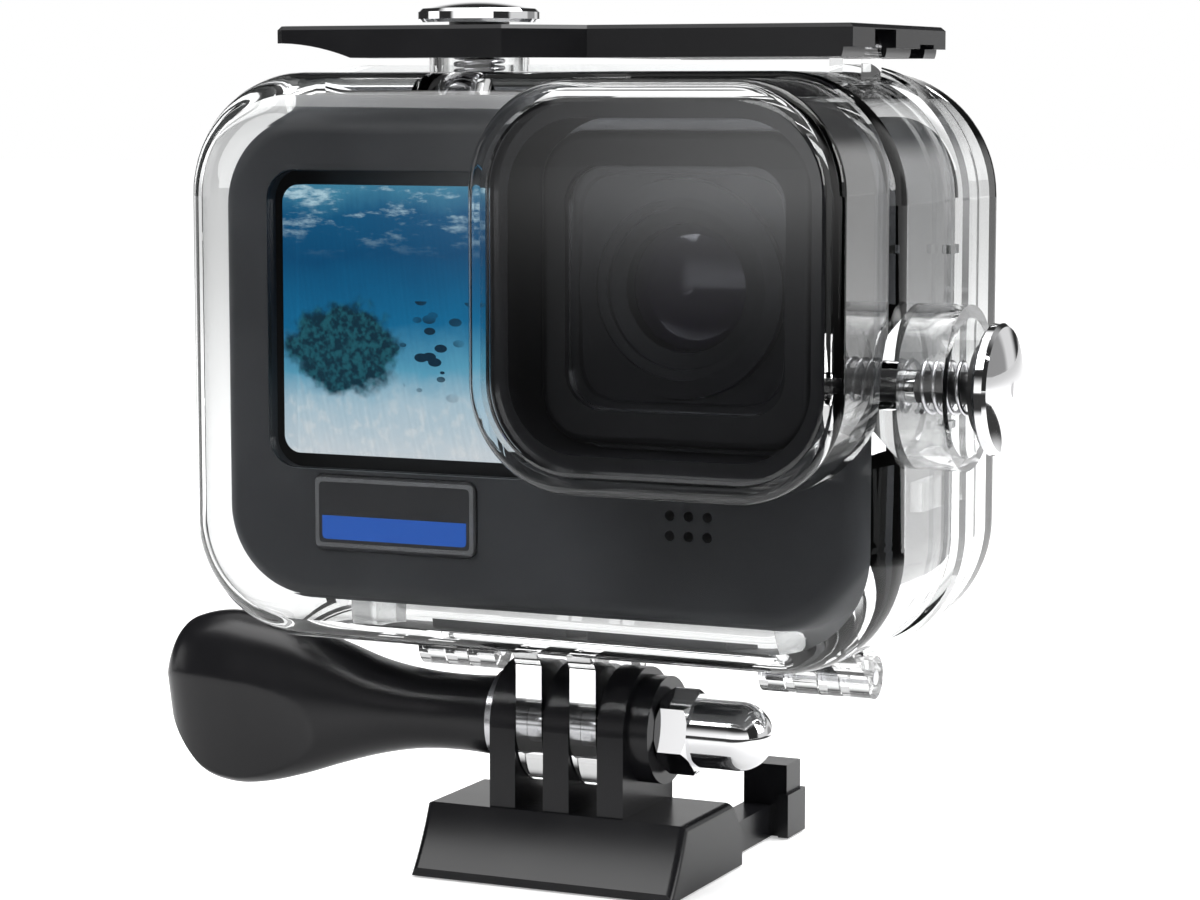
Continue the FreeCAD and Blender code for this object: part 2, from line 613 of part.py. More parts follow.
def port_pieces():
    """Black bezel, gasket and flat glass of the lens port."""
    inner = ("port_width - 2 * port_wall - 2 * part_gap", "port_height - 2 * port_wall - 2 * part_gap",
             "port_corner - port_wall - part_gap")
    bezel = new_body("port_bezel")
    block(bezel, "Y", inner, (PORT_X, PORT_Z), f"{PORT_FRONT} + 2.6", "port_reach - 2.2")
    block(bezel, "Y", ("port_width - 2 * port_wall - 4.2", "port_height - 2 * port_wall - 4.2",
                       "port_corner - port_wall - 1.8"), (PORT_X, PORT_Z), f"{PORT_FRONT} + 2",
          "port_reach", cut=True)
    glass = new_body("port_window")
    block(glass, "Y", inner, (PORT_X, PORT_Z), f"{PORT_FRONT} + 0.5", "glass_thick")
    round_edges(glass, "0.4", on_plane("Y", f"{PORT_FRONT} + 0.5"), chamfer=True)


def rear_door():
    """Clear rear door: shallow tub with a rim, hinge knuckles and the rib that the latch grips."""
    body = new_body("rear_door")
    middle = ("housing_shift", MIDDLE_Z)
    start = f"{SEAM} + part_gap + gasket_width - 0.6"
    block(body, "Y", (SHELL_WIDTH, SHELL_HEIGHT, "shell_corner"), middle, start,
          f"{DOOR_BACK} - ({start})")
    round_edges(body, "3.2", on_plane("Y", DOOR_BACK))
    block(body, "Y", (f"{SHELL_WIDTH} + 2 * rim_height", f"{SHELL_HEIGHT} + 2 * rim_height",
                      "shell_corner + rim_height"), middle, start, "rim_width")
    block(body, "Y", (f"{SHELL_WIDTH} - 2 * wall", f"{SHELL_HEIGHT} - 2 * wall", "shell_corner - wall"),
          middle, f"{start} - 1", f"{DOOR_BACK} - wall - ({start}) + 1", cut=True)
    block(body, "Z", ("44", "3"), ("housing_shift + 2", f"{DOOR_BACK} - 6.4"), f"{SHELL_TOP} - 0.5", "1.4")
    for start_x, length in DOOR_KNUCKLES:
        place = f"housing_shift + {start_x} + part_gap"
        disc(body, "X", "2 * knuckle_radius", (HINGE_Y, HINGE_Z), place, length)
        block(body, "X", ("3.6", "hinge_drop + 0.6"),
              (f"{HINGE_Y} + 0.9", f"{HINGE_Z} + hinge_drop / 2 + 0.3"), place, length)
    disc(body, "X", "2 * hinge_pin_radius + 2 * pin_play", (HINGE_Y, HINGE_Z),
         "housing_shift - 30", "70", cut=True)
    return body


def door_gasket():
    """Silicone seal that lies in the seam, carried by the door."""
    body = new_body("door_gasket")
    middle = ("housing_shift", MIDDLE_Z)
    start = f"{SEAM} + part_gap / 2"
    size = f"{SHELL_WIDTH} - wall * 0.6"
    tall = f"{SHELL_HEIGHT} - wall * 0.6"
    thick = "gasket_width - 0.6 + part_gap / 2"
    block(body, "Y", (size, tall, "shell_corner - wall * 0.3"), middle, start, thick)
    block(body, "Y", (f"{size} - wall * 0.8", f"{tall} - wall * 0.8", "shell_corner - wall * 0.7"), middle,
          f"{start} - 1", f"{thick} + 2", cut=True)


def hinge_pins():
    """Two steel pins, one through each pair of knuckles."""
    left = rod("left_hinge_rod", "X", "hinge_pin_radius",
               ("housing_shift - 22.4", HINGE_Y, HINGE_Z), "9.4")
    right = rod("right_hinge_rod", "X", "hinge_pin_radius",
                ("housing_shift + 18.2", HINGE_Y, HINGE_Z), "12.4")
    group("door_hinge_pins", [left, right])


# ---------------------------------------------------------------- latch

def latch_lever():
    """Black lever: a finger bar in front of the shutter button, and a block that hooks the door."""
    body = new_body("latch_lever")
    under = f"({SHELL_TOP} + lever_gap)"
    top = f"({SHELL_TOP} + lever_top)"
    tall = f"({top} - {under})"
    left = "(housing_shift - bar_left)"
    right = "(housing_shift + block_right)"
    front = "(bar_front - 4 - camera_setback)"
    block_front = "(block_front - camera_setback)"
    back = f"({DOOR_BACK} - 0.4)"
    step = "(housing_shift + block_left)"
    prism(body, "Z", [
        (left, f"{front} + 1.2"), (f"{left} + 1.2", front), (f"{step} - 6.5", front),
        (step, block_front), (right, block_front), (right, back), (step, back),
        (f"{step} - 0.8", f"{block_front} + 4.6"), (f"{step} - 4.6", f"{front} + bar_depth"),
        (left, f"{front} + bar_depth"),
    ], under, tall)
    prism(body, "Y", [
        (f"{LATCH_X} + 6", f"{under} - 1"), (LATCH_X, f"{under} - 1"),
        (LATCH_X, f"{LATCH_Z} - 2.2"), (f"{LATCH_X} + 1.56", f"{LATCH_Z} - 1.56", "arc"),
        (f"{LATCH_X} + 2.2", LATCH_Z), (f"{LATCH_X} + 6", LATCH_Z),
    ], f"{block_front} - 12", "60", cut=True)
    prism(body, "Y", [
        (f"{left} - 1", f"{under} - 1"), (f"{left} + 12", f"{under} - 1"),
        (f"{left} + 9", f"{under} + 0.1"), (f"{left} + 4", f"{under} + 1.3", "arc"),
        (f"{left} - 1", f"{under} + 1.5"),
    ], f"{front} - 1", "bar_depth + 2", cut=True)
    block(body, "Z", (f"{right} - {LATCH_X} + 4.4", "lug_depth + 2 * part_gap"),
          (f"({right} + {LATCH_X} - 2) / 2 + 0.2", LUG_Y), f"{under} - 1",
          f"{LATCH_Z} + 1.7 + part_gap - ({under}) + 1", cut=True)
    block(body, "Y", ("70", "1.6"), ("housing_shift + 10", f"{under} + 0.6"), f"{DOOR_BACK} - 8.6",
          "4.4", cut=True)
    disc(body, "Y", "2 * latch_pin_radius", (LATCH_X, LATCH_Z), f"{LUG_Y} - lug_depth / 2 - 4",
         "lug_depth + 8", cut=True)
    round_edges(body, "0.4", on_plane("Z", top), chamfer=True)
    return body


def latch_pin():
    """Steel pin, fixed in the lever and turning in the lug."""
    keep(rod("latch_rod", "Y", "latch_pin_radius",
             (LATCH_X, f"{LUG_Y} - lug_depth / 2 - 3.6", LATCH_Z), "lug_depth + 7.2"), "latch_pin")


# ---------------------------------------------------------------- push buttons of the housing

def shutter_push():
    """Chrome cap, stem, clip and spring over the camera's shutter button."""
    base = f"{SHELL_TOP} + shutter_rise"
    cap = domed_cap(number("cap_radius"), number("cap_rim"), number("cap_dome"),
                    point(SHUTTER_X, SHUTTER_Y, base), "Z")
    shaped("shutter_cap", cap)
    foot = f"({CAMERA_TOP} + 0.6 + 0.1)"
    stem = doc.addObject("Part::Fuse", "shutter_stem_solid")
    stem.Base = rod("shutter_stem_rod", "Z", "stem_radius", (SHUTTER_X, SHUTTER_Y, foot),
                    f"{base} - {foot}")
    stem.Tool = rod("shutter_stem_collar", "Z", "stem_radius + 1.6",
                    (SHUTTER_X, SHUTTER_Y, f"{base} - 1.2"), "1.2")
    keep(stem, "shutter_stem")
    shaped("shutter_spring", coil(number("stem_radius + 0.9"), 0.5,
                                  number("shutter_rise - 1.2 + 0.6 - press_travel") - 0.1, 4,
                                  point(SHUTTER_X, SHUTTER_Y, f"{SHELL_TOP} - 0.6"), "Z"))
    tube("shutter_clip", "Z", "stem_radius + 0.5", "stem_radius",
         (SHUTTER_X, SHUTTER_Y, f"{SHELL_TOP} - wall - 0.5"), "0.4")


def mode_push():
    """Chrome cap, stem, clip and spring beside the camera's mode button."""
    outer = f"({SHELL_SIDE} + mode_reach)"
    cap = domed_cap(number("cap_radius"), number("cap_rim"), number("cap_dome"),
                    point(outer, MODE_Y, MODE_Z), "X")
    shaped("mode_cap", cap)
    foot = f"({CAMERA_SIDE} + 0.5 + 0.1)"
    stem = doc.addObject("Part::Fuse", "mode_stem_solid")
    stem.Base = rod("mode_stem_rod", "X", "stem_radius", (foot, MODE_Y, MODE_Z), f"{outer} - {foot}")
    stem.Tool = rod("mode_stem_collar", "X", "cap_radius - 2", (f"{outer} - 1", MODE_Y, MODE_Z), "1")
    keep(stem, "mode_stem")
    shaped("mode_spring", coil(number("stem_radius + 0.9"), 0.5,
                               number("mode_reach - 1 - 0.4 - press_travel") - 0.1, 4,
                               point(f"{SHELL_SIDE} + 0.4", MODE_Y, MODE_Z), "X"))
    tube("mode_clip", "X", "stem_radius + 0.35", "stem_radius",
         (f"{SHELL_SIDE} - wall - 0.5", MODE_Y, MODE_Z), "0.4")


# ---------------------------------------------------------------- camera

def case_half(label, start, length, outer_edge):
    """Make one hollow half of the camera's case, open at the split."""
    body = new_body(label)
    middle = ("housing_shift", MIDDLE_Z)
    block(body, "Y", ("camera_width", "camera_height", "camera_corner"), middle, start, length)
    round_edges(body, "camera_edge", on_plane("Y", outer_edge))
    return body


def camera_front_case():
    """Dark front half with the screen window, lens opening, plate seat and speaker holes."""
    body = case_half("camera_front_case", CAMERA_FRONT, "case_split", CAMERA_FRONT)
    middle = ("housing_shift", MIDDLE_Z)
    block(body, "Y", ("camera_width - 2 * camera_wall", "camera_height - 2 * camera_wall",
                      "camera_corner - camera_wall"), middle, f"{CAMERA_FRONT} + camera_wall + 0.6",
          "case_split", cut=True)
    block(body, "Y", ("screen_width + 2 * screen_border", "screen_height + 2 * screen_border", "3.2"),
          (SCREEN_X, SCREEN_Z), f"{CAMERA_FRONT} - 1", "camera_wall + 3", cut=True)
    block(body, "Y", ("cover_width - 1.6", "cover_height - 1.6", "cover_corner - 0.8"), (LENS_X, LENS_Z),
          f"{CAMERA_FRONT} - 1", "camera_wall + 3", cut=True)
    block(body, "Y", ("plate_width", "plate_height", "1.2"),
          ("housing_shift + plate_x", f"{MIDDLE_Z} + plate_z"), f"{CAMERA_FRONT} - 1", "1.6", cut=True)
    for column in (-1, 0, 1):
        for row in (-1, 0, 1):
            disc(body, "Y", "speaker_hole", (f"housing_shift + speaker_x + {column} * speaker_pitch",
                 f"{MIDDLE_Z} + speaker_z + {row} * speaker_pitch"), f"{CAMERA_FRONT} - 1",
                 "camera_wall + 3", cut=True)
    disc(body, "Z", "7.4", (SHUTTER_X, SHUTTER_Y), f"{CAMERA_TOP} - camera_wall - 1", "4", cut=True)
    block(body, "X", ("4.2", "12.4", "2"), (MODE_Y, MODE_Z), f"{CAMERA_SIDE} - camera_wall - 1", "4",
          cut=True)
    return body


def camera_rear_case():
    """Dark rear half with the seat of the rear screen and the battery opening."""
    start = f"({CAMERA_FRONT} + case_split)"
    body = case_half("camera_rear_case", start, "camera_depth - case_split", CAMERA_BACK)
    middle = ("housing_shift", MIDDLE_Z)
    block(body, "Y", ("camera_width - 2 * camera_wall", "camera_height - 2 * camera_wall",
                      "camera_corner - camera_wall"), middle, f"{start} - 1",
          "camera_depth - case_split - camera_wall", cut=True)
    block(body, "Y", ("rear_screen_width", "rear_screen_height", "2.4"), middle,
          f"{CAMERA_BACK} - 1.2", "3", cut=True)
    disc(body, "Z", "7.4", (SHUTTER_X, SHUTTER_Y), f"{CAMERA_TOP} - camera_wall - 1", "4", cut=True)
    return body


def camera_rear_pieces():
    """Rear screen, side battery door and battery."""
    screen = new_body("rear_screen")
    block(screen, "Y", ("rear_screen_width - 0.2", "rear_screen_height - 0.2", "2.3"),
          ("housing_shift", MIDDLE_Z), f"{CAMERA_BACK} - 1.2", "1.2")
    door = new_body("battery_door")
    block(door, "X", ("8", "34", "2.6"), ("camera_depth - camera_setback - 7", MIDDLE_Z),
          "housing_shift - camera_width / 2 - 0.5", "0.5")
    battery = new_body("battery")
    block(battery, "Y", ("33", "40", "2"), ("housing_shift - camera_width / 2 + camera_wall + 17.4",
          MIDDLE_Z), f"{CAMERA_FRONT} + 6", "camera_depth - 6 - camera_wall - 1")


def front_screen():
    """Front display, its glass and the flat plate below it."""
    glass = new_body("front_screen_glass")
    block(glass, "Y", ("screen_width + 2 * screen_border - 0.2", "screen_height + 2 * screen_border - 0.2",
                       "3.1"), (SCREEN_X, SCREEN_Z), CAMERA_FRONT, "0.9")
    panel = new_body("front_screen_panel")
    block(panel, "Y", ("screen_width", "screen_height", "1.9"), (SCREEN_X, SCREEN_Z),
          f"{CAMERA_FRONT} + 0.9", "1.5")
    frame = new_body("front_plate")
    block(frame, "Y", ("plate_width - 0.2", "plate_height - 0.2", "1.1"),
          ("housing_shift + plate_x", f"{MIDDLE_Z} + plate_z"), f"{CAMERA_FRONT} - 0.25", "0.85")


def lens_pieces():
    """Square lens cover, stepped barrel, elements and image sensor."""
    cover = new_body("lens_cover_frame")
    block(cover, "Y", ("cover_width", "cover_height", "cover_corner"), (LENS_X, LENS_Z), COVER_FRONT,
          "cover_reach")
    round_edges(cover, "0.9", on_plane("Y", COVER_FRONT))
    block(cover, "Y", ("cover_width - 5.6", "cover_height - 6.8", "cover_corner - 1.2"),
          (LENS_X, LENS_Z), f"{COVER_FRONT} - 1", "cover_reach + 2", cut=True)
    glass = new_body("lens_cover_glass")
    block(glass, "Y", ("cover_width - 5.7", "cover_height - 6.9", "cover_corner - 1.25"),
          (LENS_X, LENS_Z), f"{COVER_FRONT} + 0.7", "1.1")
    centre = point(LENS_X, f"{COVER_FRONT} + 1.9", LENS_Z)
    outer = number("barrel_radius")
    pupil = number("pupil_radius")
    profile = [(pupil + 2.6, 0), (outer, 0), (outer, 14), (pupil - 1.4, 14), (pupil - 1.4, 5),
               (pupil, 4.6), (pupil, 1.6), (pupil + 1.6, 1.2), (pupil + 1.6, 0.5), (pupil + 2.6, 0.4)]
    shaped("lens_barrel", turned(profile, centre, "Y"))
    curve = domed_cap(pupil - 0.05, 1.0, 1.7, Vector(), "Z")
    curve.Placement = FreeCAD.Placement(centre + Vector(0, 4.4, 0), FreeCAD.Rotation(Vector(1, 0, 0), 90))
    shaped("lens_front_element", curve)
    rear = [turned([(0, a), (pupil - 1.45, a), (pupil - 1.45, a + 1.6), (0, a + 1.6)], centre, "Y")
            for a in (6.4, 9.2)]
    shaped("lens_rear_elements", Part.Compound(rear))
    last = f"({COVER_FRONT} + 1.9 + 14)"
    sensor = slab("sensor_chip", ("9", "0.8", "7.4"), (f"{LENS_X} - 4.5", last, f"{LENS_Z} - 3.7"))
    keep(sensor, "image_sensor")
    board = slab("sensor_plate", ("24", "1", "24"), (f"{LENS_X} - 12", f"{last} + 0.8", f"{LENS_Z} - 12"))
    keep(board, "sensor_board")
    keep(slab("main_plate", ("34", "1.2", "36"), (f"{LENS_X} - 19", f"{last} + 2.8", f"{MIDDLE_Z} - 18")),
         "main_board")
    keep(slab("heat_plate", ("32", "1", "34"), (f"{LENS_X} - 17.5", f"{last} + 1.8", f"{MIDDLE_Z} - 17")),
         "heat_sink")
    keep(slab("card", ("15", "1", "11"), (f"{LENS_X} - 8", f"{last} + 4", f"{MIDDLE_Z} - 17")),
         "memory_card")
    keep(slab("speaker_box", ("11", "3", "8"),
              ("housing_shift + speaker_x - 5.5", f"{CAMERA_FRONT} + camera_wall + 0.6",
               f"{MIDDLE_Z} + speaker_z - 4")), "speaker_unit")


def camera_buttons():
    """The camera's own shutter and mode buttons, pressed through the housing."""
    tall = "camera_wall + 0.6"
    button = rod("camera_shutter_disc", "Z", "3.6", (SHUTTER_X, SHUTTER_Y,
                 f"{CAMERA_TOP} - camera_wall"), tall)
    keep(button, "camera_shutter_button")
    mode = new_body("camera_mode_button")
    block(mode, "X", ("4", "12.2", "1.9"), (MODE_Y, MODE_Z), f"{CAMERA_SIDE} - camera_wall",
          "camera_wall + 0.5")


def folding_fingers():
    """The camera's own mounting fingers, folded flat into its underside, with their pins."""
    low = f"({MIDDLE_Z} - camera_height / 2 - 0.8)"
    fingers = [slab(f"finger_{side}", ("16", "9", "0.8"),
                    (f"housing_shift - 8 + {side} * 9.2", "-2", low)) for side in (-1, 1)]
    group("folding_fingers", fingers)


def check_and_write():
    """Stop on any failed object or shape, then write each piece's file."""
    doc.recompute()
    for item in doc.Objects:
        if {"Invalid", "Error"} & set(item.State):
            raise RuntimeError(f"{item.Label} is not valid: {item.State}")
    os.makedirs("parts", exist_ok=True)
    for piece in pieces:
        shape = piece.Shape
        if shape.isNull() or not shape.isValid():
            raise RuntimeError(f"{piece.Label} has no valid shape")
        shape.exportStep(f"parts/{piece.Label}.step")
        box = shape.BoundBox
        print(f"{piece.Label:22s} {len(shape.Solids)} solids {shape.Volume:9.1f} mm3 "
              f"x {box.XMin:6.1f} {box.XMax:6.1f} y {box.YMin:6.1f} {box.YMax:6.1f} "
              f"z {box.ZMin:6.1f} {box.ZMax:6.1f}")


def main():
    """Build the document and write the pieces."""
    fill_sheet()
    buckle()
    acorn_nut()
    thumb_handle()
    thumb_bolt()
    thumb_washer()
    front_shell()
    locating_pads()
    port_pieces()
    rear_door()
    door_gasket()
    hinge_pins()
    latch_lever()
    latch_pin()
    shutter_push()
    mode_push()
    camera_front_case()
    camera_rear_case()
    camera_rear_pieces()
    front_screen()
    lens_pieces()
    camera_buttons()
    folding_fingers()
    check_and_write()


main()
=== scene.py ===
"""Looks of an action camera in a clear diving housing, on its tilting buckle.

Every length is in metres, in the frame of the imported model: +Z up, the lens looks along -Y.
"""

import json
import logging
import math
from dataclasses import dataclass
from enum import Enum
from typing import Any, Sequence, Union

import bmesh
import bpy
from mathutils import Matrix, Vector

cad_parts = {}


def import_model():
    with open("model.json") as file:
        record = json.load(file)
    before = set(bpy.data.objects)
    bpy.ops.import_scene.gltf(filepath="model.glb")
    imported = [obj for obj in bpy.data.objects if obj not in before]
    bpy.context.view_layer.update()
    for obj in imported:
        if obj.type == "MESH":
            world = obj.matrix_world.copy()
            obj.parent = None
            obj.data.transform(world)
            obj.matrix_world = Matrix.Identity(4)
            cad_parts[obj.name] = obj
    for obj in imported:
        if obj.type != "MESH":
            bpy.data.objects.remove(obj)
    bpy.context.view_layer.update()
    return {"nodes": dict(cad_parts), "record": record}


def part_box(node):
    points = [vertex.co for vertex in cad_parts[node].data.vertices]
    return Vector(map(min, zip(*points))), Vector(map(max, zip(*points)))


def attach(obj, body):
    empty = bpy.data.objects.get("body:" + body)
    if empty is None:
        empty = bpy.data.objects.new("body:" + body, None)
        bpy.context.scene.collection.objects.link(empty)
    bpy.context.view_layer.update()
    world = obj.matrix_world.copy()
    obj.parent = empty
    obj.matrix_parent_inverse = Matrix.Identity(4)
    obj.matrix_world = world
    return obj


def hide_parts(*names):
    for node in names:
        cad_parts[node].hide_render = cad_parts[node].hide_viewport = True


LOG = logging.getLogger("camera_looks")
MM = 0.001
Number = Union[int, float]
Colour = tuple[float, float, float]
Triple = tuple[float, float, float]


class Body(Enum):
    """The bodies that the new pieces ride on."""

    HOUSING = "housing"
    THUMB_SCREW = "thumb_screw"


# ------------------------------------------------------------------ shader arithmetic

class Signal:
    """A number on a shader link; arithmetic on it adds Math nodes."""

    def __init__(self, graph: "Graph", socket: Any) -> None:
        """Wrap an output socket of a graph."""
        self.graph = graph
        self.socket = socket

    def _math(self, operation: str, *values: "Term") -> "Signal":
        """Add one Math node and return its result."""
        node = self.graph.node("ShaderNodeMath", {"operation": operation}, dict(enumerate(values)))
        return Signal(self.graph, node.outputs[0])

    def __add__(self, other: "Term") -> "Signal":
        """Return self + other."""
        return self._math("ADD", self, other)

    __radd__ = __add__

    def __sub__(self, other: "Term") -> "Signal":
        """Return self - other."""
        return self._math("SUBTRACT", self, other)

    def __rsub__(self, other: "Term") -> "Signal":
        """Return other - self."""
        return self._math("SUBTRACT", other, self)

    def __mul__(self, other: "Term") -> "Signal":
        """Return self * other."""
        return self._math("MULTIPLY", self, other)

    __rmul__ = __mul__

    def __truediv__(self, other: "Term") -> "Signal":
        """Return self / other."""
        return self._math("DIVIDE", self, other)

    def __gt__(self, other: "Term") -> "Signal":
        """Return 1 where self is greater than other, else 0."""
        return self._math("GREATER_THAN", self, other)

    def __lt__(self, other: "Term") -> "Signal":
        """Return 1 where self is less than other, else 0."""
        return self._math("LESS_THAN", self, other)

    def __abs__(self) -> "Signal":
        """Return the absolute value."""
        return self._math("ABSOLUTE", self)

    def sine(self) -> "Signal":
        """Return the sine."""
        return self._math("SINE", self)

    def root(self) -> "Signal":
        """Return the square root."""
        return self._math("SQRT", self)

    def smooth(self, low: float, high: float) -> "Signal":
        """Return a smooth step.

        Args:
            low: where the step is 0; it may lie above high.
            high: where the step is 1.

        Returns:
            The step, from 0 to 1.
        """
        node = self.graph.node("ShaderNodeMapRange", {"interpolation_type": "SMOOTHSTEP", "clamp": True},
                               {"Value": self, "From Min": low, "From Max": high})
        return Signal(self.graph, node.outputs[0])


Term = Union[Signal, Number]


class Graph:
    """A node tree with one way of adding nodes."""

    def __init__(self, tree: Any) -> None:
        """Start with an empty tree."""
        self.tree = tree
        tree.nodes.clear()

    def node(self, kind: str, settings: dict[str, Any] | None = None,
             inputs: dict[Any, Any] | None = None) -> Any:
        """Add a node.

        Args:
            kind: the node's type name.
            settings: its own settings, set first; "stops" fills a colour ramp.
            inputs: values, signals or sockets for its inputs, by name or number.

        Returns:
            The new node.
        """
        made = self.tree.nodes.new(kind)
        for name, value in (settings or {}).items():
            if name == "stops":
                self._fill_ramp(made.color_ramp, value)
            else:
                setattr(made, name, value)
        for name, value in (inputs or {}).items():
            self.feed(made.inputs[name], value)
        return made

    def feed(self, target: Any, value: Any) -> None:
        """Link or set one input socket."""
        if isinstance(value, Signal):
            value = value.socket
        if isinstance(value, bpy.types.NodeSocket):
            self.tree.links.new(value, target)
            return
        if target.type == "RGBA" and len(value) == 3:
            value = (*value, 1.0)
        target.default_value = value

    @staticmethod
    def _fill_ramp(ramp: Any, stops: Sequence[tuple[float, Colour]]) -> None:
        """Give a colour ramp its stops."""
        while len(ramp.elements) < len(stops):
            ramp.elements.new(0.5)
        for element, (place, colour) in zip(ramp.elements, stops):
            element.position = place
            element.color = (*colour, 1.0)

    def mix(self, factor: Any, first: Any, second: Any, blend: str = "MIX") -> Any:
        """Mix two colours and return the result's socket."""
        made = self.node("ShaderNodeMix", {"data_type": "RGBA", "blend_type": blend},
                         {0: factor, 6: first, 7: second})
        return made.outputs[2]

    def place(self) -> Any:
        """Return the place on the piece at rest, in metres, as a vector socket."""
        return self.node("ShaderNodeTexCoord").outputs["Object"]

    def axes(self) -> tuple[Signal, Signal, Signal]:
        """Return x, y and z of the place on the piece."""
        made = self.node("ShaderNodeSeparateXYZ", None, {0: self.place()})
        return tuple(Signal(self, socket) for socket in made.outputs)

    def noise(self, scale: float, detail: float = 3.0, rough: float = 0.5, vector: Any = None) -> Signal:
        """Return a noise value about 0.5, with scale in waves per metre."""
        made = self.node("ShaderNodeTexNoise", None, {
            "Vector": vector or self.place(), "Scale": scale, "Detail": detail, "Roughness": rough})
        return Signal(self, made.outputs[0])

    def bump(self, height: Signal, depth: float, strength: float = 1.0) -> Any:
        """Return a normal bumped by a height signal, with depth in metres."""
        made = self.node("ShaderNodeBump", None, {"Height": height, "Distance": depth, "Strength": strength})
        return made.outputs[0]


def new_material(name: str) -> tuple[Any, Graph]:
    """Make an empty node material."""
    material = bpy.data.materials.new(name)
    material.use_nodes = True
    return material, Graph(material.node_tree)


def principled(graph: Graph, inputs: dict[str, Any]) -> Any:
    """Add a Principled shader and an output, and return the shader."""
    shader = graph.node("ShaderNodeBsdfPrincipled", None, inputs)
    graph.node("ShaderNodeOutputMaterial", None, {"Surface": shader.outputs[0]})
    return shader


# ------------------------------------------------------------------ finishes

@dataclass(frozen=True)
class MouldedPlastic:
    """Moulded plastic with a fine spark grain and a little unevenness in its gloss."""

    name: str
    colour: Colour
    roughness: float = 0.35
    uneven: float = 0.06
    grain_per_metre: float = 20000.0
    grain_depth: float = 0.000002
    specular: float = 0.5
    coat: float = 0.0

    def material(self) -> Any:
        """Return the finish as a material."""
        material, graph = new_material(self.name)
        patches = graph.noise(90.0, 4.0)
        grain = graph.noise(self.grain_per_metre, 2.0)
        lighter = tuple(min(1.0, channel * 1.25 + 0.002) for channel in self.colour)
        principled(graph, {
            "Base Color": graph.mix(patches.smooth(0.35, 0.75), self.colour, lighter),
            "Roughness": self.roughness + (patches - 0.5) * self.uneven * 2,
            "Specular IOR Level": self.specular,
            "Coat Weight": self.coat,
            "Coat Roughness": 0.08,
            "Normal": graph.bump(grain, self.grain_depth, 0.6),
        })
        return material


@dataclass(frozen=True)
class ClearPlastic:
    """Clear polycarbonate or glass, with faint handling marks in its gloss."""

    name: str
    tint: Colour = (1.0, 1.0, 1.0)
    ior: float = 1.49
    roughness: float = 0.0
    marks: float = 0.03
    shade: float = 0.12

    def material(self) -> Any:
        """Return the finish as a material."""
        material, graph = new_material(self.name)
        smear = graph.noise(55.0, 5.0, 0.6)
        shader = graph.node("ShaderNodeBsdfPrincipled", None, {
            "Base Color": self.tint,
            "Roughness": self.roughness + smear.smooth(0.55, 0.8) * self.marks,
            "IOR": self.ior,
            "Transmission Weight": 1.0,
        })
        lets_light = graph.node("ShaderNodeBsdfTransparent", None, {0: self.tint})
        path = graph.node("ShaderNodeLightPath")
        factor = Signal(graph, path.outputs["Is Shadow Ray"]) * (1.0 - self.shade)
        mixed = graph.node("ShaderNodeMixShader", None,
                           {0: factor, 1: shader.outputs[0], 2: lets_light.outputs[0]})
        graph.node("ShaderNodeOutputMaterial", None, {"Surface": mixed.outputs[0]})
        return material


@dataclass(frozen=True)
class PolishedMetal:
    """Plated or turned metal."""

    name: str
    colour: Colour
    roughness: float = 0.06
    scratches: float = 0.03
    scratch_per_metre: float = 2500.0

    def material(self) -> Any:
        """Return the finish as a material."""
        material, graph = new_material(self.name)
        fine = graph.noise(self.scratch_per_metre, 3.0)
        wide = graph.noise(120.0, 4.0)
        principled(graph, {
            "Base Color": graph.mix(wide, self.colour, tuple(c * 0.93 for c in self.colour)),
            "Metallic": 1.0,
            "Roughness": self.roughness + fine * wide * self.scratches,
        })
        return material


@dataclass(frozen=True)
class CircuitBoard:
    """Green solder mask with copper tracks under it."""

    name: str
    pitch: float = 0.0016

    def material(self) -> Any:
        """Return the finish as a material."""
        material, graph = new_material(self.name)
        across, _, upward = graph.axes()
        tracks = (across * (math.tau / self.pitch) + (upward * 900.0).sine() * 2.0).sine() > 0.72
        pads = graph.node("ShaderNodeTexVoronoi", None, {"Vector": graph.place(), "Scale": 260.0})
        dots = Signal(graph, pads.outputs["Distance"]) < 0.16
        green = graph.mix(tracks, (0.008, 0.09, 0.035), (0.02, 0.17, 0.06))
        principled(graph, {
            "Base Color": graph.mix(dots, green, (0.75, 0.58, 0.25)),
            "Metallic": dots,
            "Roughness": 0.35 - dots * 0.1,
        })
        return material


